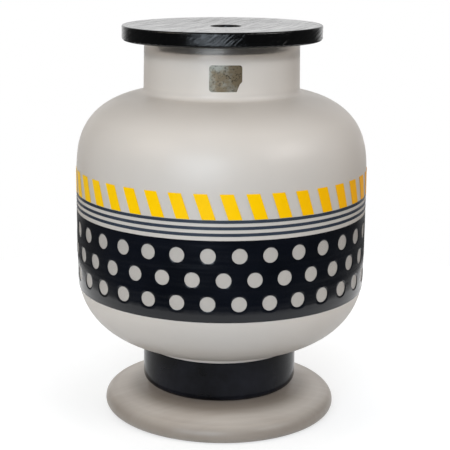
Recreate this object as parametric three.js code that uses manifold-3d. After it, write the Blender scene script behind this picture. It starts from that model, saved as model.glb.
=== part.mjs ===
// Footed glass vase with a turned wooden lid. The glass is satin, with black enamel on the stem,
// a black band with rows of round windows, three thin lines and a row of slanted yellow bars.
// Millimetres, +Z up. The origin is the centre of the foot's flat base, and -Y is the front.

import * as THREE from 'three';
import { mergeVertices } from 'three/addons/utils/BufferGeometryUtils.js';
import Module from 'manifold-3d';

const wasm = await Module();
wasm.setup();

const degree = Math.PI / 180;

// Facets round every turned shape. Glass and enamel share them, so they stay parallel.
const facets = 40;

// Gap between pieces that rest on each other, and between the glass and its enamel.
const restGap = 0.3;
const enamelGap = 0.1;
const enamelThickness = 0.3;

// The glass, from the foot up.
const foot = {
  radius: 96.9,
  lowerRound: 6.2,
  upperRound: 8.7,
  upperRoundBase: 6.4,
  slope: 14.9 * degree,
  height: 23,
  topRadius: 59.5,
};
const stem = {
  radius: 64,
  heelRound: 6.2,
  underFillet: 3,
  filletTop: 60.9,
  bottom: foot.height + restGap,
  floor: 34.5,
  floorRound: 4,
};
const belly = {
  radius: 119.1,
  lowerTop: 120,
  lowerDepth: 61.9,
  lowerReach: 76.9,
  lowerPower: 2.18,
  shoulderBase: 202,
  shoulderHeight: 68.6,
  shoulderReach: 89.5,
  shoulderPower: 2.77,
};
const neck = {
  baseRadius: 63.6,
  topRadius: 63,
  top: 310.4,
  fillet: 4.5,
  filletBottom: 268.2,
  rimRound: 1.2,
};
const wall = 4.8;

// The wooden lid: a disc with a finger hole, and the step under it that centres it in the neck.
const lid = {
  radius: 81.1,
  bottom: neck.top + restGap,
  thickness: 12,
  topRound: 1,
  lowerRound: 2.2,
  dish: 1.3,
  dishRadius: 74,
  holeRadius: 12.2,
  holeRound: 1,
  holeAside: 3,
  plugRadius: 57,
  plugDepth: 6.8,
  plugBevel: 1,
  glueGap: 0.2,
};

// The enamel, by height.
const stemBandTop = 56.8;
const heelStep = 22.5 * degree;
const dotBand = { bottom: 108.4, bend: 116.5, top: 172.5, rows: [160.5, 141.7, 123.1] };
const dot = { radius: 5.9, count: 32, sides: 10, centre: 1.5 * degree, drift: 0.017, cutDepth: 6 };
const line = { width: 2.4, pitch: 5, top: 188.1, count: 3 };
const bar = { count: 38, width: 5 * degree, lean: 3.2 * degree, start: -0.2 * degree, height: 19.4 };

// The blank foil label on the front of the neck.
const label = {
  width: 25.5,
  height: 20.4,
  corner: 2.2,
  cutWidth: 4.3,
  cutHeight: 5.8,
  notch: 1.9,
  z: 286.3,
  turn: 3 * degree,
  gap: 0.1,
  thickness: 0.25,
  cutLength: 80,
};

const satinGlass = new THREE.MeshStandardMaterial({ color: 0xd3cec8, roughness: 0.5, metalness: 0 });
const blackEnamel = new THREE.MeshStandardMaterial({ color: 0x0a0e16, roughness: 0.12, metalness: 0 });
const yellowEnamel = new THREE.MeshStandardMaterial({ color: 0xffc400, roughness: 0.3, metalness: 0 });
const stainedWood = new THREE.MeshStandardMaterial({ color: 0x17171a, roughness: 0.35, metalness: 0 });
const agedFoil = new THREE.MeshStandardMaterial({ color: 0x9c927c, roughness: 0.35, metalness: 0.8 });

function point(radius, z) {
  return new THREE.Vector2(radius, z);
}

// Points on a round corner, from one angle to another, both measured from the radial direction.
function corner(centreRadius, centreZ, radius, from, to, steps) {
  const points = [];
  for (let i = 0; i <= steps; i += 1) {
    const angle = from + ((to - from) * i) / steps;
    points.push(point(centreRadius + radius * Math.cos(angle), centreZ + radius * Math.sin(angle)));
  }
  return points;
}

// A quarter of a superellipse, by its angle. It gives the belly's lower curve and the shoulder.
function curve(angle, reach, depth, power) {
  const out = Math.cos(angle) ** (2 / power);
  const along = Math.sin(angle) ** (2 / power);
  return point(belly.radius - reach + reach * out, depth * along);
}

// The outer radius of the glass at a height, for the enamel on the belly.
function bellyRadiusAt(z) {
  if (z < belly.lowerTop) {
    const share = (belly.lowerTop - z) / belly.lowerDepth;
    const out = (1 - share ** belly.lowerPower) ** (1 / belly.lowerPower);
    return belly.radius - belly.lowerReach + belly.lowerReach * out;
  }
  if (z > belly.shoulderBase) {
    const share = (z - belly.shoulderBase) / belly.shoulderHeight;
    const out = (1 - share ** belly.shoulderPower) ** (1 / belly.shoulderPower);
    return belly.radius - belly.shoulderReach + belly.shoulderReach * out;
  }
  return belly.radius;
}

// The neck narrows a little towards the rim.
function neckRadiusAt(z) {
  const share = (z - neck.filletBottom) / (neck.top - neck.filletBottom);
  return neck.baseRadius + (neck.topRadius - neck.baseRadius) * share;
}

// The glass outside from the top of the stem to the neck, which the inside follows.
function bellyOutline() {
  const stemFillet = point(stem.radius + stem.underFillet, stem.filletTop - stem.underFillet);
  const points = corner(stemFillet.x, stemFillet.y, stem.underFillet, 180 * degree, 102 * degree, 2);
  const lowerSteps = 7;
  const lowerEnd = 71 * degree;
  for (let i = 0; i <= lowerSteps; i += 1) {
    const angle = lowerEnd * (1 - i / lowerSteps);
    const step = curve(angle, belly.lowerReach, belly.lowerDepth, belly.lowerPower);
    points.push(point(step.x, belly.lowerTop - step.y));
  }
  const shoulderSteps = 8;
  const shoulderEnd = 71.5 * degree;
  for (let i = 0; i <= shoulderSteps; i += 1) {
    const angle = (shoulderEnd * i) / shoulderSteps;
    const step = curve(angle, belly.shoulderReach, belly.shoulderHeight, belly.shoulderPower);
    points.push(point(step.x, belly.shoulderBase + step.y));
  }
  const neckFillet = point(neck.baseRadius + neck.fillet, neck.filletBottom + neck.fillet);
  points.push(...corner(neckFillet.x, neckFillet.y, neck.fillet, 260 * degree, 180 * degree, 3));
  return points;
}

// The same outline moved inwards by the wall's thickness.
function insideOf(outline) {
  return outline.map((here, i) => {
    const before = outline[Math.max(i - 1, 0)];
    const after = outline[Math.min(i + 1, outline.length - 1)];
    const along = after.clone().sub(before).normalize();
    return point(here.x - along.y * wall, here.y + along.x * wall);
  });
}

// A solid turned about the axis from an outline that runs up the outside and down the inside.
function revolve(outline) {
  const geometry = new THREE.LatheGeometry(outline, facets);
  geometry.rotateX(90 * degree);
  return geometry;
}

function closed(outline) {
  return [...outline, outline[0].clone()];
}

function toSolid(geometry) {
  const plain = geometry.clone();
  plain.deleteAttribute('normal');
  plain.deleteAttribute('uv');
  const merged = mergeVertices(plain, 1e-4);
  const vertProperties = new Float32Array(merged.attributes.position.array);
  const triVerts = new Uint32Array(merged.index.array);
  return new wasm.Manifold(new wasm.Mesh({ numProp: 3, vertProperties, triVerts }));
}

function toGeometry(solid) {
  const mesh = solid.getMesh();
  const geometry = new THREE.BufferGeometry();
  geometry.setAttribute('position', new THREE.BufferAttribute(mesh.vertProperties, mesh.numProp));
  geometry.setIndex(new THREE.BufferAttribute(mesh.triVerts, 1));
  return geometry;
}

function named(name, geometry, material) {
  const mesh = new THREE.Mesh(geometry, material);
  mesh.name = name;
  return mesh;
}

function glassVessel() {
  const outside = bellyOutline();
  const inside = insideOf(outside);
  const heelRadius = stem.radius - stem.heelRound;
  const innerStem = stem.radius - wall;
  const floorRound = stem.floorRound;
  const mouth = neck.topRadius - wall;
  const outline = [
    point(0, stem.bottom),
    ...corner(heelRadius, stem.bottom + stem.heelRound, stem.heelRound, -4 * heelStep, 0, 4),
    ...outside,
    ...corner(neck.topRadius - neck.rimRound, neck.top - neck.rimRound, neck.rimRound, 0, 90 * degree, 1),
    ...corner(mouth + neck.rimRound, neck.top - neck.rimRound, neck.rimRound, 90 * degree, 180 * degree, 1),
    ...inside.reverse(),
    ...corner(innerStem - floorRound, stem.floor + floorRound, floorRound, 0, -90 * degree, 2),
    point(0, stem.floor),
  ];
  return named('glass_vessel', revolve(outline), satinGlass);
}

function glassFoot() {
  const upperCentre = foot.radius - foot.upperRound;
  const roundEnd = 90 * degree - foot.slope;
  const outline = [
    point(0, 0),
    ...corner(foot.radius - foot.lowerRound, foot.lowerRound, foot.lowerRound, -90 * degree, 0, 4),
    ...corner(upperCentre, foot.upperRoundBase, foot.upperRound, 0, roundEnd, 4),
    point(foot.topRadius, foot.height),
    point(0, foot.height),
  ];
  return named('glass_foot', revolve(outline), satinGlass);
}

// The finger hole was bored a little to the right of the middle, so the points at its edge move there.
function moveHole(geometry) {
  const position = geometry.attributes.position;
  const reach = lid.holeRadius + 2 * lid.holeRound;
  for (let i = 0; i < position.count; i += 1) {
    const x = position.getX(i);
    if (Math.hypot(x, position.getY(i)) < reach) {
      position.setX(i, x + lid.holeAside);
    }
  }
  return geometry;
}

function lidDisc() {
  const top = lid.bottom + lid.thickness;
  const dishFloor = top - lid.dish;
  const holeEdge = point(lid.holeRadius + lid.holeRound, dishFloor - lid.holeRound);
  const outline = closed([
    point(lid.holeRadius, lid.bottom),
    ...corner(lid.radius - lid.lowerRound, lid.bottom + lid.lowerRound, lid.lowerRound, -90 * degree, 0, 3),
    ...corner(lid.radius - lid.topRound, top - lid.topRound, lid.topRound, 0, 90 * degree, 2),
    point(lid.dishRadius, top),
    ...corner(holeEdge.x, holeEdge.y, lid.holeRound, 90 * degree, 180 * degree, 2),
  ]);
  return named('lid_disc', moveHole(revolve(outline)), stainedWood);
}

function lidPlug() {
  const top = lid.bottom - lid.glueGap;
  const bottom = top - lid.plugDepth;
  const outline = closed([
    point(lid.holeRadius, bottom),
    point(lid.plugRadius - lid.plugBevel, bottom),
    point(lid.plugRadius, bottom + lid.plugBevel),
    point(lid.plugRadius, top),
    point(lid.holeRadius, top),
  ]);
  return named('lid_plug', moveHole(revolve(outline)), stainedWood);
}

// A skin of enamel over the belly between two heights, as a closed outline.
function bellySkin(heights, gap, thickness) {
  const inner = heights.map((z) => point(bellyRadiusAt(z) + gap, z));
  const outer = heights.map((z) => point(bellyRadiusAt(z) + gap + thickness, z));
  return closed([...outer, ...inner.reverse()]);
}

// The angle of a dot. The rows are a little closer at the front than at the back.
function dotAngle(index) {
  const even = (index * 360 * degree) / dot.count;
  return dot.centre + even + dot.drift * Math.sin(even);
}

function dottedBand() {
  const heights = [dotBand.bottom, dotBand.bend, dotBand.top];
  let band = toSolid(revolve(bellySkin(heights, enamelGap, enamelThickness)));
  dotBand.rows.forEach((z, row) => {
    const shift = row % 2 === 0 ? 0.5 : 0;
    for (let i = 0; i < dot.count; i += 1) {
      const cutter = new THREE.CylinderGeometry(dot.radius, dot.radius, dot.cutDepth, dot.sides);
      cutter.translate(0, -belly.radius, z);
      cutter.rotateZ(dotAngle(i + shift));
      band = band.subtract(toSolid(cutter));
    }
  });
  return named('enamel_dotted_band', toGeometry(band), blackEnamel);
}

function enamelLine(index) {
  const top = line.top - index * line.pitch;
  const outline = bellySkin([top - line.width, top], enamelGap, enamelThickness);
  return named(`enamel_line_${index + 1}`, revolve(outline), blackEnamel);
}

// The enamel on the stem runs down over the round heel and stops just above the foot.
function stemBand() {
  const centreRadius = stem.radius - stem.heelRound;
  const centreZ = stem.bottom + stem.heelRound;
  const innerRound = stem.heelRound + enamelGap;
  const outerRound = innerRound + enamelThickness;
  const inner = corner(centreRadius, centreZ, innerRound, -3 * heelStep, 0, 3);
  const outer = corner(centreRadius, centreZ, outerRound, -3 * heelStep, 0, 3);
  inner.push(point(stem.radius + enamelGap, stemBandTop));
  outer.push(point(stem.radius + enamelGap + enamelThickness, stemBandTop));
  return named('enamel_stem_band', revolve(closed([...outer, ...inner.reverse()])), blackEnamel);
}

// A bar is a box wrapped round the belly. Its foot leans to the right of its top.
function yellowBar(index) {
  const bottom = line.top + restGap;
  const gap = 2 * enamelGap;
  const geometry = new THREE.BoxGeometry(1, 1, 1, 3, 1, 1);
  const position = geometry.attributes.position;
  const left = bar.start + (index * 360 * degree) / bar.count;
  for (let i = 0; i < position.count; i += 1) {
    const across = position.getX(i) + 0.5;
    const outward = 0.5 - position.getY(i);
    const up = position.getZ(i) + 0.5;
    const angle = left + bar.width * across + bar.lean * (1 - up);
    const z = bottom + bar.height * up;
    const radius = bellyRadiusAt(z) + gap + enamelThickness * outward;
    position.setXYZ(i, radius * Math.sin(angle), -radius * Math.cos(angle), z);
  }
  const number = String(index + 1).padStart(2, '0');
  return named(`yellow_bar_${number}`, geometry, yellowEnamel);
}

// The label's outline has three round corners. Its lower right corner is cut off at a slant, with a notch.
function labelShape() {
  const x = label.width / 2;
  const y = label.height / 2;
  const shape = new THREE.Shape();
  shape.moveTo(-x + label.corner, -y);
  shape.lineTo(x - label.cutWidth, -y);
  shape.lineTo(x - label.notch, -y + label.cutHeight);
  shape.lineTo(x, -y + label.cutHeight + label.notch);
  shape.lineTo(x, y - label.corner);
  shape.quadraticCurveTo(x, y, x - label.corner, y);
  shape.lineTo(-x + label.corner, y);
  shape.quadraticCurveTo(-x, y, -x, y - label.corner);
  shape.lineTo(-x, -y + label.corner);
  shape.quadraticCurveTo(-x, -y, -x + label.corner, -y);
  return shape;
}

function neckLabel() {
  const low = label.z - label.height;
  const high = label.z + label.height;
  const innerGap = label.gap;
  const outerGap = label.gap + label.thickness;
  const skin = closed([
    point(neckRadiusAt(low) + outerGap, low),
    point(neckRadiusAt(high) + outerGap, high),
    point(neckRadiusAt(high) + innerGap, high),
    point(neckRadiusAt(low) + innerGap, low),
  ]);
  const straight = { depth: label.cutLength, bevelEnabled: false, curveSegments: 3 };
  const cutter = new THREE.ExtrudeGeometry(labelShape(), straight);
  cutter.rotateX(90 * degree);
  cutter.translate(0, 0, label.z);
  cutter.rotateZ(label.turn);
  const solid = toSolid(revolve(skin)).intersect(toSolid(cutter));
  return named('neck_label', toGeometry(solid), agedFoil);
}

const vase = new THREE.Group();
vase.add(glassVessel(), glassFoot(), lidDisc(), lidPlug());
vase.add(dottedBand(), stemBand(), neckLabel());
for (let i = 0; i < line.count; i += 1) {
  vase.add(enamelLine(i));
}
for (let i = 0; i < bar.count; i += 1) {
  vase.add(yellowBar(i));
}

export default vase;
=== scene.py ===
import math

import bmesh
import bpy
import numpy as np
from mathutils import Matrix, Vector


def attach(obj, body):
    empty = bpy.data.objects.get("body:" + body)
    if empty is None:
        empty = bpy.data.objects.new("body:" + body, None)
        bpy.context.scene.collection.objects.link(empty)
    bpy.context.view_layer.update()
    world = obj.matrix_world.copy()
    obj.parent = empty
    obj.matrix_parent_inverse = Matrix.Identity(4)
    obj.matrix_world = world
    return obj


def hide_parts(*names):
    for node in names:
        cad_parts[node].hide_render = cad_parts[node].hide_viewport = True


# Footed vase of satin glass with black and yellow enamel and a stained wooden lid.
# Metres, +Z up, the front is -Y. Every turned piece is an outline (radius, height) carried round the axis.

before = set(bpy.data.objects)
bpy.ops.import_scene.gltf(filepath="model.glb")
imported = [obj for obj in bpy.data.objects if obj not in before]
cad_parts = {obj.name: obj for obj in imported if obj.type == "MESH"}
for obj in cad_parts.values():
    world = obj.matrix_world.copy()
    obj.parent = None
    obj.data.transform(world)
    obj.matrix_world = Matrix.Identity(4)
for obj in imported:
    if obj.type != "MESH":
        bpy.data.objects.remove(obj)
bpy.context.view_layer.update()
print("stage: the frame is loaded")

deg = math.pi / 180


# Meshes

# A mesh object from arrays of points and faces. Coincident points are merged, so seams and poles close.
def meshPiece(name, points, faces, sharpAngle=35):
    mesh = bpy.data.meshes.new(name)
    mesh.from_pydata(points.tolist(), [], faces.tolist())
    work = bmesh.new()
    work.from_mesh(mesh)
    bmesh.ops.remove_doubles(work, verts=work.verts, dist=1e-6)
    bmesh.ops.dissolve_degenerate(work, edges=work.edges, dist=1e-7)
    work.to_mesh(mesh)
    work.free()
    mesh.polygons.foreach_set("use_smooth", np.ones(len(mesh.polygons), dtype=bool))
    mesh.set_sharp_from_angle(angle=sharpAngle * deg)
    mesh.update()
    piece = bpy.data.objects.new(name, mesh)
    bpy.context.scene.collection.objects.link(piece)
    return piece


# Quads of a grid whose point (i, j) has index i * columns + j. Either direction may close on itself.
def gridFaces(rows, columns, wrapRows=False, wrapColumns=False):
    i = np.arange(rows if wrapRows else rows - 1)
    j = np.arange(columns if wrapColumns else columns - 1)
    i, j = (a.ravel() for a in np.meshgrid(i, j, indexing="ij"))
    nextI, nextJ = (i + 1) % rows, (j + 1) % columns
    return np.stack([i * columns + j, i * columns + nextJ, nextI * columns + nextJ, nextI * columns + j], 1)


# Surface of revolution: point (k, a) = (r(k) sin a + s(k), -r(k) cos a, z(k)), where s moves a ring sideways.
# A ring's outline closes on itself.
def revolved(name, outline, around, isRing=False, aside=0):
    outline = np.asarray(outline)
    angle = np.linspace(0, 2 * np.pi, around, endpoint=False)
    r, z = outline[:, 0:1], outline[:, 1:2]
    x, y = r * np.sin(angle) + np.reshape(aside, (-1, 1)), -r * np.cos(angle)
    points = np.stack([x, y, np.broadcast_to(z, x.shape)], -1).reshape(-1, 3)
    faces = gridFaces(len(outline), around, wrapRows=isRing, wrapColumns=True)
    return meshPiece(name, points, faces)


# Points on a circle from one angle to another, in degrees from the radial direction.
def arc(centre, radius, start, end, steps=10):
    a = np.linspace(start, end, steps) * deg
    return np.stack([centre[0] + radius * np.cos(a), centre[1] + radius * np.sin(a)], 1)


# Points along a line, crowded towards both ends by a cosine, which keeps the shading of round edges local.
def straight(start, end, steps=8):
    t = (1 - np.cos(np.linspace(0, np.pi, steps + 2)[1:-1])) / 2
    return np.asarray(start) + (np.asarray(end) - np.asarray(start)) * t[:, None]


def joined(*parts):
    return np.concatenate([np.atleast_2d(p) for p in parts])


# The outline moved along its own normal, which is the tangent turned by a quarter.
def insetBy(outline, distance):
    along = np.gradient(outline, axis=0)
    along /= np.linalg.norm(along, axis=1)[:, None]
    return outline + distance * np.stack([-along[:, 1], along[:, 0]], 1)


# The glass

belly = dict(radius=0.1191, lowerTop=0.120, lowerDepth=0.0619, lowerReach=0.0769, lowerPower=2.18,
             lowerEnd=71, shoulderBase=0.202, shoulderHeight=0.0686, shoulderReach=0.0895,
             shoulderPower=2.77, shoulderEnd=71.5)
neck = dict(baseRadius=0.0636, topRadius=0.0630, top=0.3104, fillet=0.0045, filletBottom=0.2682,
            filletStart=260, rimRound=0.0012)
stem = dict(radius=0.064, heelRound=0.0062, underFillet=0.003, filletTop=0.0609, underEnd=102,
            bottom=0.0233, floor=0.0345, floorRound=0.004)
foot = dict(radius=0.0969, lowerRound=0.0062, upperRound=0.0087, upperRoundBase=0.0064, slope=14.9,
            height=0.0230, topRadius=0.0595)
glassWall = 0.0048
aroundSteps = dict(vessel=160, foot=192, lid=192, plug=128, line=256, stemBand=192)


# Radius of the glass at a height: a cylinder, ending in a quarter superellipse below and above.
def bellyRadiusAt(z):
    low = np.clip((belly["lowerTop"] - z) / belly["lowerDepth"], 0, 1)
    high = np.clip((z - belly["shoulderBase"]) / belly["shoulderHeight"], 0, 1)
    lowPower, highPower = belly["lowerPower"], belly["shoulderPower"]
    lowDrop = belly["lowerReach"] * (1 - (1 - low ** lowPower) ** (1 / lowPower))
    highDrop = belly["shoulderReach"] * (1 - (1 - high ** highPower) ** (1 / highPower))
    return belly["radius"] - lowDrop - highDrop


def neckRadiusAt(z):
    share = (z - neck["filletBottom"]) / (neck["top"] - neck["filletBottom"])
    return neck["baseRadius"] + (neck["topRadius"] - neck["baseRadius"]) * share


# Quarter superellipse by its angle a: the radius falls by reach (1 - cos^(2/p) a), and the height grows by
# depth sin^(2/p) a.
def quarter(reach, depth, power, end, steps=44):
    a = np.linspace(0, end, steps) * deg
    return belly["radius"] - reach * (1 - np.cos(a) ** (2 / power)), depth * np.sin(a) ** (2 / power)


# The outside of the glass from the top of the stem, under the belly and over the shoulder, to the neck.
def bellyOutline():
    r, drop = quarter(belly["lowerReach"], belly["lowerDepth"], belly["lowerPower"], belly["lowerEnd"])
    lower = np.stack([r, belly["lowerTop"] - drop], 1)[::-1]
    r, rise = quarter(belly["shoulderReach"], belly["shoulderHeight"], belly["shoulderPower"],
                      belly["shoulderEnd"])
    shoulder = np.stack([r, belly["shoulderBase"] + rise], 1)
    stemCentre = (stem["radius"] + stem["underFillet"], stem["filletTop"] - stem["underFillet"])
    neckCentre = (neck["baseRadius"] + neck["fillet"], neck["filletBottom"] + neck["fillet"])
    return joined(
        arc(stemCentre, stem["underFillet"], 180, stem["underEnd"]),
        lower,
        straight(lower[-1], shoulder[0], 20),
        shoulder,
        arc(neckCentre, neck["fillet"], neck["filletStart"], 180),
    )


def makeVessel():
    outside = bellyOutline()
    inside = insetBy(outside, glassWall)[::-1]
    heel = stem["heelRound"]
    heelCentre = (stem["radius"] - heel, stem["bottom"] + heel)
    rim = neck["rimRound"]
    mouth = neck["topRadius"] - glassWall
    innerStem = stem["radius"] - glassWall
    floorRound = stem["floorRound"]
    outline = joined(
        (0, stem["bottom"]),
        straight((0, stem["bottom"]), (heelCentre[0], stem["bottom"]), 6),
        arc(heelCentre, heel, -90, 0),
        straight((stem["radius"], heelCentre[1]), outside[0], 8),
        outside,
        straight(outside[-1], (neck["topRadius"], neck["top"] - rim), 12),
        arc((neck["topRadius"] - rim, neck["top"] - rim), rim, 0, 90, 7),
        straight((neck["topRadius"] - rim, neck["top"]), (mouth + rim, neck["top"]), 3),
        arc((mouth + rim, neck["top"] - rim), rim, 90, 180, 7),
        straight((mouth, neck["top"] - rim), inside[0], 10),
        inside,
        straight(inside[-1], (innerStem, stem["floor"] + floorRound), 6),
        arc((innerStem - floorRound, stem["floor"] + floorRound), floorRound, 0, -90, 7),
        straight((innerStem - floorRound, stem["floor"]), (0, stem["floor"]), 6),
        (0, stem["floor"]),
    )
    return revolved("satinVessel", outline, aroundSteps["vessel"])


def makeFoot():
    upperCentre = (foot["radius"] - foot["upperRound"], foot["upperRoundBase"])
    upper = arc(upperCentre, foot["upperRound"], 0, 90 - foot["slope"], 14)
    lowerCentre = (foot["radius"] - foot["lowerRound"], foot["lowerRound"])
    top = (foot["topRadius"], foot["height"])
    outline = joined(
        (0, 0),
        straight((0, 0), (lowerCentre[0], 0), 8),
        arc(lowerCentre, foot["lowerRound"], -90, 0, 12),
        straight((foot["radius"], lowerCentre[1]), (foot["radius"], upperCentre[1]), 3),
        upper,
        straight(upper[-1], top, 12),
        top,
        straight(top, (0, foot["height"]), 8),
        (0, foot["height"]),
    )
    return revolved("satinFoot", outline, aroundSteps["foot"])


# The lid

lid = dict(radius=0.0811, bottom=0.3107, thickness=0.0120, topRound=0.0010, lowerRound=0.0022, dish=0.0013,
           dishRadius=0.074, holeRadius=0.0122, holeRound=0.001, holeAside=0.003, plugRadius=0.057,
           plugDepth=0.0068, plugBevel=0.001, glueGap=0.0002)


# The finger hole was bored a little to the right. A ring follows it by its nearness: all at the hole's edge,
# none from a given radius outwards.
def holeShift(outline, outerRadius):
    innerRadius = lid["holeRadius"] + lid["holeRound"]
    return lid["holeAside"] * np.clip((outerRadius - outline[:, 0]) / (outerRadius - innerRadius), 0, 1)


# The disc: a round upper and lower edge, and a top dished by a cosine towards the finger hole.
def makeLidDisc():
    top = lid["bottom"] + lid["thickness"]
    floor = top - lid["dish"]
    lowerCentre = (lid["radius"] - lid["lowerRound"], lid["bottom"] + lid["lowerRound"])
    topCentre = (lid["radius"] - lid["topRound"], top - lid["topRound"])
    holeCentre = (lid["holeRadius"] + lid["holeRound"], floor - lid["holeRound"])
    t = np.linspace(0, 1, 26)[1:-1]
    dishR = lid["dishRadius"] + (holeCentre[0] - lid["dishRadius"]) * t
    dish = np.stack([dishR, top - lid["dish"] * (1 - np.cos(np.pi * t)) / 2], 1)
    outline = joined(
        (lid["holeRadius"], lid["bottom"]),
        straight((lid["holeRadius"], lid["bottom"]), (lowerCentre[0], lid["bottom"]), 10),
        arc(lowerCentre, lid["lowerRound"], -90, 0, 9),
        straight((lid["radius"], lowerCentre[1]), (lid["radius"], topCentre[1]), 5),
        arc(topCentre, lid["topRound"], 0, 90, 9),
        straight((topCentre[0], top), (lid["dishRadius"], top), 3),
        dish,
        arc(holeCentre, lid["holeRound"], 90, 180, 8),
        straight((lid["holeRadius"], holeCentre[1]), (lid["holeRadius"], lid["bottom"]), 6),
    )
    shift = holeShift(outline, lid["dishRadius"])
    return revolved("woodLid", outline, aroundSteps["lid"], isRing=True, aside=shift)


def makeLidPlug():
    top = lid["bottom"] - lid["glueGap"]
    bottom = top - lid["plugDepth"]
    bevel = lid["plugBevel"]
    outline = joined(
        (lid["holeRadius"], bottom),
        straight((lid["holeRadius"], bottom), (lid["plugRadius"] - bevel, bottom), 8),
        arc((lid["plugRadius"] - bevel, bottom + bevel), bevel, -90, 0, 6),
        straight((lid["plugRadius"], bottom + bevel), (lid["plugRadius"], top), 5),
        (lid["plugRadius"], top),
        straight((lid["plugRadius"], top), (lid["holeRadius"], top), 8),
        (lid["holeRadius"], top),
        straight((lid["holeRadius"], top), (lid["holeRadius"], bottom), 5),
    )
    shift = holeShift(outline, lid["plugRadius"] - bevel)
    return revolved("woodPlug", outline, aroundSteps["plug"], isRing=True, aside=shift)


# The enamel

enamel = dict(gap=0.0001, thickness=0.0003, edge=0.00012)
dotBand = dict(bottom=0.1084, top=0.1725, rows=(0.1605, 0.1417, 0.1231), dotRadius=0.0059, count=32,
               centre=1.5 * deg, drift=0.017, perSide=12)
pinLines = dict(top=0.1881, width=0.0024, pitch=0.005, count=3)
stemBand = dict(top=0.0568, lowestAngle=-67.5)
bars = dict(count=38, width=5.0 * deg, lean=3.2 * deg, start=-0.2 * deg, bottom=0.1884, height=0.0194,
            corner=0.0003, thickness=0.00025, edge=0.0001)


# A closed outline round a skin of enamel: up its outer face and down its inner face.
def skinOutline(heights):
    heights = np.asarray(heights)
    inner = bellyRadiusAt(heights) + enamel["gap"]
    outer = inner + enamel["thickness"]
    outer[[0, -1]] -= enamel["edge"]  # the skin thins a little at its edges
    return joined(np.stack([outer, heights], 1), np.stack([inner, heights], 1)[::-1])


def makePinLine(index):
    top = pinLines["top"] - index * pinLines["pitch"]
    edge = enamel["edge"]
    heights = [top - pinLines["width"], top - pinLines["width"] + edge, top - edge, top]
    return revolved(f"pinLine{index + 1}", skinOutline(heights), aroundSteps["line"], isRing=True)


# The skin round the stem follows the round heel and ends just above the foot.
def makeStemBand():
    heel = stem["heelRound"]
    centre = (stem["radius"] - heel, stem["bottom"] + heel)
    innerRadius = stem["radius"] + enamel["gap"]
    inner = joined(
        arc(centre, heel + enamel["gap"], stemBand["lowestAngle"], 0, 14),
        straight((innerRadius, centre[1]), (innerRadius, stemBand["top"]), 8),
        (innerRadius, stemBand["top"]),
    )
    outer = insetBy(inner, -enamel["thickness"])
    outer[-1, 1] = stemBand["top"]
    outer[-1, 0] -= enamel["edge"]
    return revolved("stemEnamel", joined(outer, inner[::-1]), aroundSteps["stemBand"], isRing=True)


# Angle of dot number s, which may be a fraction: even steps, plus a sine that sets the dots a little wider
# apart at the front and closer at the back.
def dotAngle(s):
    even = 2 * np.pi * np.asarray(s, dtype=float) / dotBand["count"]
    return dotBand["centre"] + even + dotBand["drift"] * np.sin(even)


# One tile for each dot, between a circle and a rectangle: point = circle + (rectangle - circle) t.
# The tiles make an outer and an inner face, joined by the wall of each round window.
def makeDottedBand():
    side = dotBand["perSide"]
    rows = dotBand["rows"]
    cuts = [dotBand["top"], (rows[0] + rows[1]) / 2, (rows[1] + rows[2]) / 2, dotBand["bottom"]]
    turn = np.arange(4 * side) / (4 * side) * 2 * np.pi - np.pi / 4
    share = np.arange(side) / side * 2 - 1
    one = np.ones(side)
    across = np.concatenate([one, -share, -one, share]) / 2  # round the rectangle from its lower right corner
    upward = np.concatenate([share, one, -share, -one])
    spread = np.array([0, 0.04, 0.25, 0.5, 0.75, 1.0])
    layers = [(t, enamel["gap"]) for t in spread[::-1]]
    layers += [(t, enamel["gap"] + enamel["thickness"] - (enamel["edge"] if t == 0 else 0)) for t in spread]
    s = np.arange(dotBand["count"])
    points, faces, used = [], [], 0
    for row, z in enumerate(rows):
        top, bottom = cuts[row], cuts[row + 1]
        number = s + (0.5 if row % 2 == 0 else 0)
        middle = dotAngle(number)[:, None]
        ringAngle = middle + dotBand["dotRadius"] * np.cos(turn) / belly["radius"]
        ringZ = z + dotBand["dotRadius"] * np.sin(turn) + 0 * middle
        boxAngle = dotAngle(number[:, None] + across)
        boxZ = (top + bottom) / 2 + upward * (top - bottom) / 2 + 0 * middle
        grid = []
        for t, depth in layers:
            angle = ringAngle + (boxAngle - ringAngle) * t
            height = ringZ + (boxZ - ringZ) * t
            radius = bellyRadiusAt(height) + depth
            grid.append(np.stack([radius * np.sin(angle), -radius * np.cos(angle), height], -1))
        grid = np.stack(grid, 1)  # tile, layer, place round the tile
        tile = gridFaces(len(layers), 4 * side, wrapColumns=True)
        starts = used + s * len(layers) * 4 * side
        points.append(grid.reshape(-1, 3))
        faces.append((starts[:, None, None] + tile[None]).reshape(-1, 4))
        used += len(points[-1])
    for height in (dotBand["bottom"], dotBand["top"]):  # the band's two edges, between its faces
        around = dotAngle(np.arange(dotBand["count"] * side) / side + 0.5)
        r = bellyRadiusAt(np.array(height)) + enamel["gap"] + np.array([[0], [enamel["thickness"]]])
        edge = np.stack([r * np.sin(around), -r * np.cos(around), height + 0 * r * around], -1).reshape(-1, 3)
        strip = gridFaces(2, len(around), wrapColumns=True) + used
        faces.append(strip if height == dotBand["bottom"] else strip[:, ::-1])
        points.append(edge)
        used += len(edge)
    return meshPiece("dottedEnamel", np.concatenate(points), np.concatenate(faces))


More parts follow.
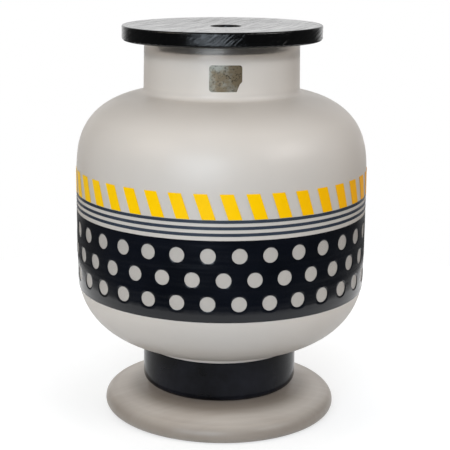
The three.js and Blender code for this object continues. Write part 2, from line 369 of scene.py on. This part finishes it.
# A thin plate: the outline drawn in to its middle in rings, on a front and a back face, then put in place.
# place(x, y, depth) gives the points in space, so the plate can lie on a round wall.
def plate(name, outline, place, thickness, edge):
    middle = (outline.min(0) + outline.max(0)) / 2
    scales = np.array([0, 0.3, 0.55, 0.75, 0.9, 1.0])
    rings = [(k, 0.0) for k in scales] + [(1.0, thickness - edge)]
    inner = 1 - edge / np.abs(outline - middle).max()
    rings += [(k * inner, thickness) for k in scales[::-1]]
    depths = [np.full((len(outline), 1), depth) for _, depth in rings]
    flat = np.stack([np.hstack([middle + (outline - middle) * k, d]) for (k, _), d in zip(rings, depths)])
    points = place(flat[..., 0], flat[..., 1], flat[..., 2]).reshape(-1, 3)
    return meshPiece(name, points, gridFaces(len(rings), len(outline), wrapColumns=True)[:, ::-1])


# Outline of a rectangle with round corners, anticlockwise, with points along each side.
def roundedRectangle(width, height, corner, perCorner=5, perSide=9):
    x, y = width / 2 - corner, height / 2 - corner
    centres = [(x, -y), (x, y), (-x, y), (-x, -y)]
    parts = []
    for k, centre in enumerate(centres):
        parts.append(arc(centre, corner, -90 + 90 * k, 90 * k, perCorner))
        turn = np.array([math.cos(90 * k * deg), math.sin(90 * k * deg)])
        parts.append(straight(parts[-1][-1], np.array(centres[(k + 1) % 4]) + corner * turn, perSide))
    return np.concatenate(parts)


# A bar is a plate wrapped round the belly, and leans:
# angle = left + width / 2 + x / r - lean (y / height - 1/2).
def makeBar(index):
    left = bars["start"] + index * 2 * np.pi / bars["count"]

    def place(x, y, depth):
        angle = left + bars["width"] / 2 + x / belly["radius"] - bars["lean"] * (y / bars["height"] - 0.5)
        z = bars["bottom"] + bars["height"] / 2 + y
        radius = bellyRadiusAt(z) + 2 * enamel["gap"] + depth
        return np.stack([radius * np.sin(angle), -radius * np.cos(angle), z], -1)

    outline = roundedRectangle(bars["width"] * belly["radius"], bars["height"], bars["corner"], 3, 7)
    return plate(f"yellowBar{index + 1:02d}", outline, place, bars["thickness"], bars["edge"])


# The label

label = dict(width=0.0255, height=0.0204, corner=0.0022, cutWidth=0.0043, cutHeight=0.0058, notch=0.0019,
             z=0.2863, turn=3 * deg, gap=0.0001, thickness=0.0002, edge=0.00006, wrinkle=0.00004,
             waves=((900, 500), (-400, 1500)))


# Blank foil on the neck: a rectangle with round corners, its lower right corner torn off with a notch.
# Its front face is lifted by the sum of two slanted sines, as shallow wrinkles.
def makeLabel():
    base = roundedRectangle(label["width"], label["height"], label["corner"])
    x, y = label["width"] / 2, label["height"] / 2
    keep = ~((base[:, 0] > x - label["cutWidth"]) & (base[:, 1] < -y + label["cutHeight"] + label["notch"]))
    first = np.argmax(keep & ~np.roll(keep, 1))
    kept = np.roll(base[keep], -np.count_nonzero(keep[:first]), axis=0)
    a, b = (x - label["cutWidth"], -y), (x - label["notch"], -y + label["cutHeight"])
    c = (x, -y + label["cutHeight"] + label["notch"])
    torn = joined(a, straight(a, b, 5), b, straight(b, c, 3), c)
    outline = joined(kept, torn)

    def place(px, py, depth):
        z = label["z"] + py
        wave = label["wrinkle"] * sum(np.sin(px * a + py * b) for a, b in label["waves"])
        radius = neckRadiusAt(z) + label["gap"] + depth + wave * (depth / label["thickness"])
        angle = label["turn"] + px / neck["baseRadius"]
        return np.stack([radius * np.sin(angle), -radius * np.cos(angle), z], -1)

    return plate("foilLabel", outline, place, label["thickness"], label["edge"])


# Finishes

# A socket takes a link from another node, or a plain value.
def feed(tree, socket, value):
    if hasattr(value, "is_output"):
        tree.links.new(value, socket)
    else:
        socket.default_value = value


# A map range: value goes from (low, high) to (outLow, outHigh), and is held at the ends.
def ranged(tree, value, low, high, outLow, outHigh):
    node = tree.nodes.new("ShaderNodeMapRange")
    for socket, number in zip(("From Min", "From Max", "To Min", "To Max"), (low, high, outLow, outHigh)):
        node.inputs[socket].default_value = number
    tree.links.new(value, node.inputs["Value"])
    return node.outputs["Result"]


# One of Blender's sums, on links or plain numbers.
def summed(tree, operation, *values):
    node = tree.nodes.new("ShaderNodeMath")
    node.operation = operation
    for socket, value in zip(node.inputs, values):
        feed(tree, socket, value)
    return node.outputs[0]


white = (1, 1, 1, 1)


# Short names for the nodes that the finishes are made of.
class finishNodes:

    def __init__(self, name):
        self.material = bpy.data.materials.new(name)
        self.material.use_nodes = True
        self.tree = self.material.node_tree
        self.surface = self.tree.nodes["Principled BSDF"]
        self.coordinates = self.tree.nodes.new("ShaderNodeTexCoord").outputs["Object"]

    def link(self, output, target):
        self.tree.links.new(output, target)

    # Object coordinates along turned axes, counted in streaks of the given size.
    def streaks(self, size, turn=(0, 0, 0)):
        node = self.tree.nodes.new("ShaderNodeMapping")
        node.vector_type = "TEXTURE"
        node.inputs["Scale"].default_value = size
        node.inputs["Rotation"].default_value = turn
        self.link(self.coordinates, node.inputs["Vector"])
        return node.outputs["Vector"]

    # One of the Object coordinates: X, Y or Z.
    def along(self, letter):
        split = self.tree.nodes.new("ShaderNodeSeparateXYZ")
        self.link(self.coordinates, split.inputs["Vector"])
        return split.outputs[letter]

    # Distance from the vase's axis, from the Object coordinates with their height taken out.
    def axisDistance(self):
        flat = self.tree.nodes.new("ShaderNodeVectorMath")
        flat.operation = "MULTIPLY"
        flat.inputs[1].default_value = (1, 1, 0)
        self.link(self.coordinates, flat.inputs[0])
        length = self.tree.nodes.new("ShaderNodeVectorMath")
        length.operation = "LENGTH"
        self.link(flat.outputs["Vector"], length.inputs[0])
        return length.outputs["Value"]

    def noise(self, scale, detail=3, vector=None, rough=0.5):
        node = self.tree.nodes.new("ShaderNodeTexNoise")
        node.inputs["Scale"].default_value = scale
        node.inputs["Detail"].default_value = detail
        node.inputs["Roughness"].default_value = rough
        self.link(vector or self.coordinates, node.inputs["Vector"])
        return node.outputs["Fac"]

    def ramp(self, value, stops):
        node = self.tree.nodes.new("ShaderNodeValToRGB")
        elements = node.color_ramp.elements
        while len(elements) < len(stops):
            elements.new(0.5)
        for element, (place, colour) in zip(elements, stops):
            element.position = place
            element.color = (*colour, 1)
        self.link(value, node.inputs["Fac"])
        return node.outputs["Color"]

    # From one colour to another. A noise mostly lies between 0.3 and 0.7.
    def fade(self, value, first, second, low=0.3, high=0.7):
        return self.ramp(value, [(low, first), (high, second)])

    def spread(self, value, low, high, outLow, outHigh):
        return ranged(self.tree, value, low, high, outLow, outHigh)

    # A noise spread over a range of gloss, or of any other measure.
    def uneven(self, noise, least, most, low=0.3, high=0.7):
        return self.spread(noise, low, high, least, most)

    def summed(self, operation, *values):
        return summed(self.tree, operation, *values)

    def mix(self, factor, first, second, blend="MIX"):
        node = self.tree.nodes.new("ShaderNodeMix")
        node.data_type = "RGBA"
        node.blend_type = blend
        for socket, value in (("Factor", factor), ("A", first), ("B", second)):
            feed(self.tree, node.inputs[socket], value)
        return node.outputs["Result"]

    # One colour multiplied by another.
    def tinted(self, colour, tint):
        return self.mix(1.0, colour, tint, "MULTIPLY")

    def bump(self, height, strength, distance, before=None):
        node = self.tree.nodes.new("ShaderNodeBump")
        node.inputs["Strength"].default_value = strength
        node.inputs["Distance"].default_value = distance
        self.link(height, node.inputs["Height"])
        if before:
            self.link(before, node.inputs["Normal"])
        return node.outputs["Normal"]

    def set(self, **values):
        for name, value in values.items():
            feed(self.tree, self.surface.inputs[name.replace("_", " ")], value)
        return self.material


satin = dict(pale=(0.79, 0.725, 0.66), dark=(0.75, 0.68, 0.61), cloudScale=9, roughness=(0.34, 0.43),
             roughScale=45, transmission=0.28, grainScale=2600, grainRelief=0.25, grainDepth=0.0001,
             index=1.45, rimClearness=0.97, rimFrom=0.297, rimTo=0.304)
# Heights where the vessel's glass is painted darker, as painted shade, and paler on the neck.
satinPaintedShade = dict(lowFrom=0.070, lowTo=0.108, low=0.89, neckFrom=0.250, neckFoot=0.267, neckTo=0.275,
                  fillet=0.85, neck=1.06)
screen = dict(pitch=0.0013, around=576, softness=0.6, dark=(0.52, 0.53, 0.54), pale=(0.95, 0.95, 0.95))
# The foot's ring and side values are painted shade: darker round the stem, at the rim and towards +X.
footGlass = dict(pale=(0.67, 0.605, 0.54), dark=(0.52, 0.46, 0.405), transmission=0.25,
                 ring=[(0.064, 0.28), (0.070, 0.40), (0.074, 0.60), (0.080, 0.90), (0.086, 1.0),
                       (0.092, 0.84), (0.0969, 0.46)],
                 brown=(1, 1.08, 1.16), ringFront=-0.045, ringBack=0.03, backRing=0.35,
                 brushSize=(0.06, 0.006, 0.02), brushTurn=(0, 0, 0.2), brushed=(0.90, 0.88, 0.86),
                 shadeSideFrom=-0.03, shadeSideTo=0.09, shadedSide=0.86)


# Acid-etched glass: a pale grey body that light goes through, clouded a little, with a fine even grain.
# The etching thins out towards the rim, so the lid's black step shows through there.
def satinGlass(name, values, shade):
    n = finishNodes(name)
    colour = n.tinted(n.fade(n.noise(satin["cloudScale"], 3), values["dark"], values["pale"]), shade(n))
    clearness = n.spread(n.along("Z"), satin["rimFrom"], satin["rimTo"], values["transmission"],
                         satin["rimClearness"])
    rough = n.uneven(n.noise(satin["roughScale"], 4), *satin["roughness"])
    grain = n.bump(n.noise(satin["grainScale"], 1), satin["grainRelief"], satin["grainDepth"])
    return n.set(Base_Color=colour, Roughness=rough, Normal=grain, Transmission_Weight=clearness,
                 IOR=satin["index"])


# The vessel's glass is painted darker low on the belly and where the shoulder meets the neck, as painted
# shade, and paler on the neck. In the windows of the dotted band it keeps the fine screen that the enamel was
# printed through, as small dark points: cos(angle count) cos(2 pi height / pitch).
def vesselShade(n):
    angle = n.summed("ARCTAN2", n.along("Y"), n.along("X"))
    around = n.summed("COSINE", n.summed("MULTIPLY", angle, screen["around"]))
    upward = n.summed("COSINE", n.summed("MULTIPLY", n.along("Z"), 2 * math.pi / screen["pitch"]))
    points = n.summed("MULTIPLY", around, upward)
    points = n.spread(points, -screen["softness"], screen["softness"], 0, 1)
    middle, half = (dotBand["bottom"] + dotBand["top"]) / 2, (dotBand["top"] - dotBand["bottom"]) / 2
    inBand = n.summed("COMPARE", n.along("Z"), middle, half)
    tints = satinPaintedShade
    # Painted shade: darker low on the belly and where the shoulder meets the neck.
    bellySide = n.spread(n.along("Z"), tints["lowFrom"], tints["lowTo"], tints["low"], 1)
    fillet = n.spread(n.along("Z"), tints["neckFrom"], tints["neckFoot"], 1, tints["fillet"])
    neckSide = n.spread(n.along("Z"), tints["neckFoot"], tints["neckTo"], 1, tints["neck"] / tints["fillet"])
    paintedShade = n.summed("MULTIPLY", n.summed("MULTIPLY", fillet, neckSide), bellySide)
    printed = n.fade(points, screen["dark"], screen["pale"], 0.2, 0.8)
    return n.tinted(n.mix(inBand, white, printed), paintedShade)


# The foot is painted darker round the stem and at its rim, as painted shade and the stem's black painted in,
# but less so at the back. It has soft brush marks, and is painted darker towards +X, as painted shade.
def footShade(n):
    low, high = footGlass["ring"][0][0], footGlass["ring"][-1][0]
    place = n.spread(n.axisDistance(), low, high, 0, 1)
    stops = [((radius - low) / (high - low), tuple(k ** power for power in footGlass["brown"]))
             for radius, k in footGlass["ring"]]
    # Painted shade and the stem's painted black, round the stem and at the rim, less so at the back.
    share = n.spread(n.along("Y"), footGlass["ringFront"], footGlass["ringBack"], 1, footGlass["backRing"])
    ring = n.mix(share, white, n.ramp(place, stops))
    brush = n.noise(1, 4, n.streaks(footGlass["brushSize"], footGlass["brushTurn"]), 0.6)
    marks = n.fade(brush, footGlass["brushed"], white[:3])
    # Painted shade: darker towards +X.
    side = n.spread(n.along("X"), footGlass["shadeSideFrom"], footGlass["shadeSideTo"], 1, footGlass["shadedSide"])
    return n.tinted(n.tinted(ring, marks), side)


innerWall = dict(pale=(0.96, 0.945, 0.92), dark=(0.95, 0.925, 0.885), streakScale=25, roughness=0.12,
                 waveScale=30, waveRelief=0.15, waveDepth=0.0006)


# The inner wall of the glass is smooth, as blown, with slow waves.
def insideGlass():
    n = finishNodes("insideGlass")
    waves = n.bump(n.noise(innerWall["waveScale"], 2), innerWall["waveRelief"], innerWall["waveDepth"])
    streak = n.fade(n.noise(innerWall["streakScale"], 3), innerWall["dark"], innerWall["pale"])
    return n.set(Base_Color=streak, Roughness=innerWall["roughness"], Normal=waves, Transmission_Weight=1.0,
                 IOR=satin["index"])


black = dict(deep=(0.0006, 0.0014, 0.0035), worn=(0.003, 0.0042, 0.008), roughness=(0.11, 0.26),
             specular=0.36)
stemBlack = dict(deep=(0.0004, 0.0004, 0.0008), worn=(0.011, 0.0115, 0.016), roughness=(0.09, 0.24),
                 specular=0.09)
lineBlack = dict(deep=(0.028, 0.036, 0.05), worn=(0.045, 0.056, 0.075), roughness=(0.17, 0.32), specular=0.3)
enamelMarks = dict(cloudScale=22, strokeSize=(0.07, 0.07, 0.0024), peelScale=300, peelRelief=0.05,
                   peelDepth=0.0002)


# Fired black enamel: bluish black gloss, with faint clouds, rubbed patches and round brush lines.
# It is less glossy on the stem, and so thin in the fine lines that it looks dark grey there.
def blackEnamel(name, values):
    n = finishNodes(name)
    marks = enamelMarks
    colour = n.fade(n.noise(marks["cloudScale"], 5, rough=0.6), values["deep"], values["worn"], 0.35, 0.75)
    strokes = n.noise(1, 3, n.streaks(marks["strokeSize"]))
    rough = n.uneven(strokes, *values["roughness"], high=0.75)
    peel = n.bump(n.noise(marks["peelScale"], 2), marks["peelRelief"], marks["peelDepth"])
    return n.set(Base_Color=colour, Roughness=rough, Normal=peel, Specular_IOR_Level=values["specular"])


# The bars are painted darker and more orange towards +X, as painted shade.
yellow = dict(bright=(1.0, 0.58, 0.001), shadedOrange=(0.98, 0.45, 0.001), shadeFrom=0.02, shadeTo=0.11,
              mottled=(0.95, 0.95, 0.95), mottleScale=160, patchScale=40, mottle=(0.4, 1.0),
              roughness=(0.26, 0.42), roughScale=60, grainScale=500, grainRelief=0.06, grainDepth=0.0001,
              specular=0.10)


# Yellow enamel, painted a little darker and more orange towards +X as painted shade, with a mottled gloss.
def yellowEnamel():
    n = finishNodes("yellowEnamel")
    # Painted shade: the colour turns darker and more orange towards +X.
    side = n.spread(n.along("X"), yellow["shadeFrom"], yellow["shadeTo"], 0, 1)
    base = n.fade(side, yellow["bright"], yellow["shadedOrange"], 0.0, 1.0)
    mottle = n.fade(n.noise(yellow["mottleScale"], 4), yellow["mottled"], white[:3])
    factor = n.uneven(n.noise(yellow["patchScale"], 2), *yellow["mottle"])
    rough = n.uneven(n.noise(yellow["roughScale"], 3), *yellow["roughness"])
    grain = n.bump(n.noise(yellow["grainScale"], 2), yellow["grainRelief"], yellow["grainDepth"])
    return n.set(Base_Color=n.mix(factor, base, mottle, "MULTIPLY"), Roughness=rough, Normal=grain,
                 Specular_IOR_Level=yellow["specular"])


# The grain runs nearly from front to back. The reliefs are depths in metres.
wood = dict(dark=(0.0006, 0.0007, 0.0008), light=(0.010, 0.0098, 0.0095),
            # The side's darker colours are painted shade.
            shadedSideDark=(0.0002, 0.0003, 0.0004), shadedSideLight=(0.0018, 0.0019, 0.0022),
            turn=(-40 * deg, 4 * deg, 72 * deg), ringSize=(0.12, 0.005, 0.0012),
            poreSize=(0.012, 0.0007, 0.0005), poreStrength=0.2, endSize=(0.012, 0.5, 0.0018),
            endTurn=(0, -38 * deg, 0), roughness=(0.07, 0.22), specular=0.36, sideTop=0.3214,
            sideBlend=0.0008, topRelief=0.00012, poreRelief=0.0001, sideRelief=0.00055)


# Black-stained wood: year rings stretched along the grain, and open pores as short dashes that are also
# bumped. The side is painted darker than the top, as painted shade, and its pores cross it as slanted
# grooves.
def stainedWood():
    n = finishNodes("stainedWood")
    rings = n.noise(1, 4, n.streaks(wood["ringSize"], wood["turn"]), 0.55)
    pores = n.noise(1, 2, n.streaks(wood["poreSize"], wood["turn"]), 0.5)
    grooves = n.noise(1, 2, n.streaks(wood["endSize"], wood["endTurn"]), 0.5)
    onSide = n.spread(n.along("Z"), wood["sideTop"], wood["sideTop"] + wood["sideBlend"], 1, 0)
    top = n.fade(rings, wood["dark"], wood["light"], 0.32)
    # Painted shade: the side takes darker colours than the top.
    side = n.fade(rings, wood["shadedSideDark"], wood["shadedSideLight"], 0.32)
    rough = n.uneven(rings, *wood["roughness"], low=0.62, high=0.36)
    relief = n.bump(n.summed("MULTIPLY", grooves, onSide), 1.0, wood["sideRelief"])
    relief = n.bump(rings, 1.0, wood["topRelief"], relief)
    relief = n.bump(n.uneven(pores, 0, 1, 0.35, 0.5), wood["poreStrength"], wood["poreRelief"], relief)
    return n.set(Base_Color=n.mix(onSide, top, side), Roughness=rough, Normal=relief,
                 Specular_IOR_Level=wood["specular"])


foil = dict(silver=(0.27, 0.262, 0.22), brown=(0.16, 0.12, 0.07), tarnish=(0.10, 0.09, 0.065),
            patchScale=90, speckScale=700, specked=(0.3, 0.9), speckPatches=250, ageFrom=-0.016,
            ageTo=0.013, age=(-0.12, 0.2), roughness=(0.35, 0.60), roughScale=300, creaseScale=380,
            creaseRelief=0.5, creaseDepth=0.0003, metallic=0.45)


# Old foil: silver grey with small dark specks, browner towards its right end, creased.
def agedFoil():
    n = finishNodes("agedFoil")
    aged = n.spread(n.along("X"), foil["ageFrom"], foil["ageTo"], *foil["age"])
    patches = n.summed("ADD", n.noise(foil["patchScale"], 4, rough=0.6), aged)
    patches = n.fade(patches, foil["silver"], foil["brown"], 0.42, 0.62)
    specks = n.fade(n.noise(foil["speckScale"], 3), foil["tarnish"], white[:3], 0.36, 0.47)
    factor = n.uneven(n.noise(foil["speckPatches"], 2), *foil["specked"], 0.35, 0.65)
    rough = n.uneven(n.noise(foil["roughScale"], 3), *foil["roughness"])
    crease = n.bump(n.noise(foil["creaseScale"], 4, rough=0.7), foil["creaseRelief"], foil["creaseDepth"])
    return n.set(Base_Color=n.mix(factor, patches, specks, "MULTIPLY"), Roughness=rough, Normal=crease,
                 Metallic=foil["metallic"])


# Faces on the inner side of the wall, and the floor of the hollow, take the piece's second finish.
def paintInside(piece):
    mesh = piece.data
    centre = np.empty(len(mesh.polygons) * 3)
    mesh.polygons.foreach_get("center", centre)
    centre = centre.reshape(-1, 3)
    radius, z = np.hypot(centre[:, 0], centre[:, 1]), centre[:, 2]
    wallRadius = np.where(z > neck["filletBottom"], neckRadiusAt(z), bellyRadiusAt(z))
    wallRadius = np.where(z < stem["filletTop"], stem["radius"], wallRadius)
    isInside = (radius < wallRadius - glassWall / 2) & (z > (stem["bottom"] + stem["floor"]) / 2)
    mesh.polygons.foreach_set("material_index", isInside.astype(np.int32))
    mesh.update()


# Gives a piece its finish and the body it moves with, and hides the solids it stands for.
def dress(piece, finish, body, slot, *nodes):
    piece.data.materials.append(finish)
    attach(piece, body)
    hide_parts(*nodes)


glassFinish = satinGlass("satinGlass", satin, vesselShade)
footFinish = satinGlass("satinFootGlass", footGlass, footShade)
blackFinish, stemFinish = blackEnamel("blackEnamel", black), blackEnamel("stemBlackEnamel", stemBlack)
lineFinish = blackEnamel("thinBlackEnamel", lineBlack)
clearFinish, yellowFinish, woodFinish, foilFinish = insideGlass(), yellowEnamel(), stainedWood(), agedFoil()

vessel = makeVessel()
dress(vessel, glassFinish, "vase", "satin_glass", "glass_vessel")
vessel.data.materials.append(clearFinish)
paintInside(vessel)
dress(makeFoot(), footFinish, "vase", "satin_glass", "glass_foot")
print("stage: the glass is made")
dress(makeLidDisc(), woodFinish, "lid", "stained_wood", "lid_disc")
dress(makeLidPlug(), woodFinish, "lid", "stained_wood", "lid_plug")
print("stage: the lid is made")
dress(makeDottedBand(), blackFinish, "vase", "black_enamel", "enamel_dotted_band")
dress(makeStemBand(), stemFinish, "vase", "black_enamel", "enamel_stem_band")
for index in range(pinLines["count"]):
    dress(makePinLine(index), lineFinish, "vase", "black_enamel", f"enamel_line_{index + 1}")
for index in range(bars["count"]):
    dress(makeBar(index), yellowFinish, "vase", "yellow_enamel", f"yellow_bar_{index + 1:02d}")
dress(makeLabel(), foilFinish, "vase", "foil_label", "neck_label")
print("stage: the enamel and the label are made")


# The studio

studio = dict(floorRadius=0.46, floorSides=96, floorBehind=0.08, floorColour=(0.55, 0.55, 0.55),
              floorRoughness=0.9, nearGlow=0.53, farGlow=0.85, glowStart=0.12, glowEnd=0.42, skyLight=0.38,
              lowSky=0.05, skyFrom=-0.1, skyTo=0.6, behindLight=0.78, behindFrom=0.1, behindTo=0.8,
              roomGlow=0.08, roomEdge=0.7, wallEdge=0.93, wallBottom=-0.23, wallFoot=-0.17)
cameraSet = dict(place=(0.0018, -1.0331, 0.4031), pitch=13.445 * deg, turn=2.662 * deg, roll=-0.057 * deg,
                 focalPixels=1268.1, aside=60, picture=450)
lamps = dict(
    window=dict(place=(-0.45, -1.75, 0.65), aim=(0, 0, 0.25), size=(1.2, 1.2), power=26.5,
                colour=(0.80, 0.90, 1.0)),
    key=dict(place=(-1.4, -0.7, 1.3), aim=(0, 0, 0.15), size=(1.0, 1.0), power=7.4, colour=(1, 0.90, 0.76)),
    fill=dict(place=(1.45, -0.85, 1.3), aim=(0, 0, 0.2), size=(1.2, 0.7), power=13.5,
              colour=(1.0, 0.98, 0.96)),
)


# One where the camera, a reflection or light through glass sees a surface directly, and nothing elsewhere.
def seenDirectly(tree, rays=("Is Camera Ray", "Is Glossy Ray", "Is Transmission Ray")):
    lightPath = tree.nodes.new("ShaderNodeLightPath")
    seen = lightPath.outputs[rays[0]]
    for ray in rays[1:]:
        seen = summed(tree, "MAXIMUM", seen, lightPath.outputs[ray])
    return seen


# A round pale table top under the vase: point = centre + radius (cos a, sin a).
def makeFloor():
    sides = studio["floorSides"]
    turn = np.arange(sides) / sides * 2 * np.pi
    points = np.stack([np.cos(turn), np.sin(turn), 0 * turn], -1) * studio["floorRadius"]
    points[:, 1] += studio["floorBehind"]
    floor = meshPiece("floor", points, np.arange(sides)[None])
    n = finishNodes("paleFloor")
    reach = (studio["glowStart"], studio["glowEnd"], studio["nearGlow"], studio["farGlow"])
    glow = n.summed("MULTIPLY", n.spread(n.axisDistance(), *reach), seenDirectly(n.tree))
    n.set(Base_Color=(*studio["floorColour"], 1), Roughness=studio["floorRoughness"], Specular_IOR_Level=0.0,
          Emission_Color=white, Emission_Strength=glow)
    floor.data.materials.append(n.material)


# White to the camera and through glass. Reflections see it white behind the vase and above the floor's level,
# and see a dim room elsewhere. For all other rays it is a plain soft light from above and from the backdrop.
def makeSky():
    world = bpy.data.worlds.new("studioSky")
    world.use_nodes = True
    bpy.context.scene.world = world
    tree = world.node_tree
    background = tree.nodes["Background"]
    background.inputs["Color"].default_value = white
    split = tree.nodes.new("ShaderNodeSeparateXYZ")
    tree.links.new(tree.nodes.new("ShaderNodeTexCoord").outputs["Generated"], split.inputs["Vector"])
    backward, upward = split.outputs["Y"], split.outputs["Z"]
    above = ranged(tree, upward, studio["skyFrom"], studio["skyTo"], studio["lowSky"], studio["skyLight"])
    behind = ranged(tree, backward, studio["behindFrom"], studio["behindTo"], 0, studio["behindLight"])
    wall = ranged(tree, upward, studio["wallBottom"], studio["wallFoot"], studio["roomGlow"], 1)
    backwards = ranged(tree, backward, studio["roomEdge"], studio["wallEdge"], studio["roomGlow"], 1)
    inGloss = tree.nodes.new("ShaderNodeMix")
    tree.links.new(summed(tree, "ADD", above, behind), inGloss.inputs["A"])
    tree.links.new(summed(tree, "MINIMUM", wall, backwards), inGloss.inputs["B"])
    tree.links.new(seenDirectly(tree, ["Is Glossy Ray"]), inGloss.inputs["Factor"])
    inView = tree.nodes.new("ShaderNodeMix")
    inView.inputs["B"].default_value = 1.0
    tree.links.new(inGloss.outputs["Result"], inView.inputs["A"])
    tree.links.new(seenDirectly(tree, ["Is Camera Ray", "Is Transmission Ray"]), inView.inputs["Factor"])
    tree.links.new(inView.outputs["Result"], background.inputs["Strength"])


# Rotation that points an object's -Z from its place to a target.
def aimedAt(place, target):
    return (Vector(target) - Vector(place)).to_track_quat("-Z", "Y").to_euler()


def makeLamps():
    for name, values in lamps.items():
        data = bpy.data.lights.new(name, "AREA")
        data.shape = "RECTANGLE"
        data.size, data.size_y = values["size"]
        data.energy = values["power"]
        data.color = values["colour"]
        lamp = bpy.data.objects.new(name, data)
        lamp.location = values["place"]
        lamp.rotation_euler = aimedAt(values["place"], values["aim"])
        bpy.context.scene.collection.objects.link(lamp)


# The photo is the right part of a wider frame, so the lens looks past the vase and the picture is shifted
# back.
def makeCamera():
    data = bpy.data.cameras.new("camera")
    data.sensor_width = 36
    data.lens = data.sensor_width * cameraSet["focalPixels"] / cameraSet["picture"]
    data.shift_x = cameraSet["aside"] / cameraSet["picture"]
    camera = bpy.data.objects.new("camera", data)
    camera.location = cameraSet["place"]
    tilt = Matrix.Rotation(math.pi / 2 - cameraSet["pitch"], 3, "X")
    turn = Matrix.Rotation(cameraSet["turn"], 3, "Z")
    roll = Matrix.Rotation(cameraSet["roll"], 3, "Z")
    camera.rotation_euler = (turn @ tilt @ roll).to_euler()
    bpy.context.scene.collection.objects.link(camera)
    bpy.context.scene.camera = camera


makeFloor()
makeSky()
makeLamps()
makeCamera()
bpy.context.scene.view_settings.view_transform = "Standard"
print("stage: the studio is ready")
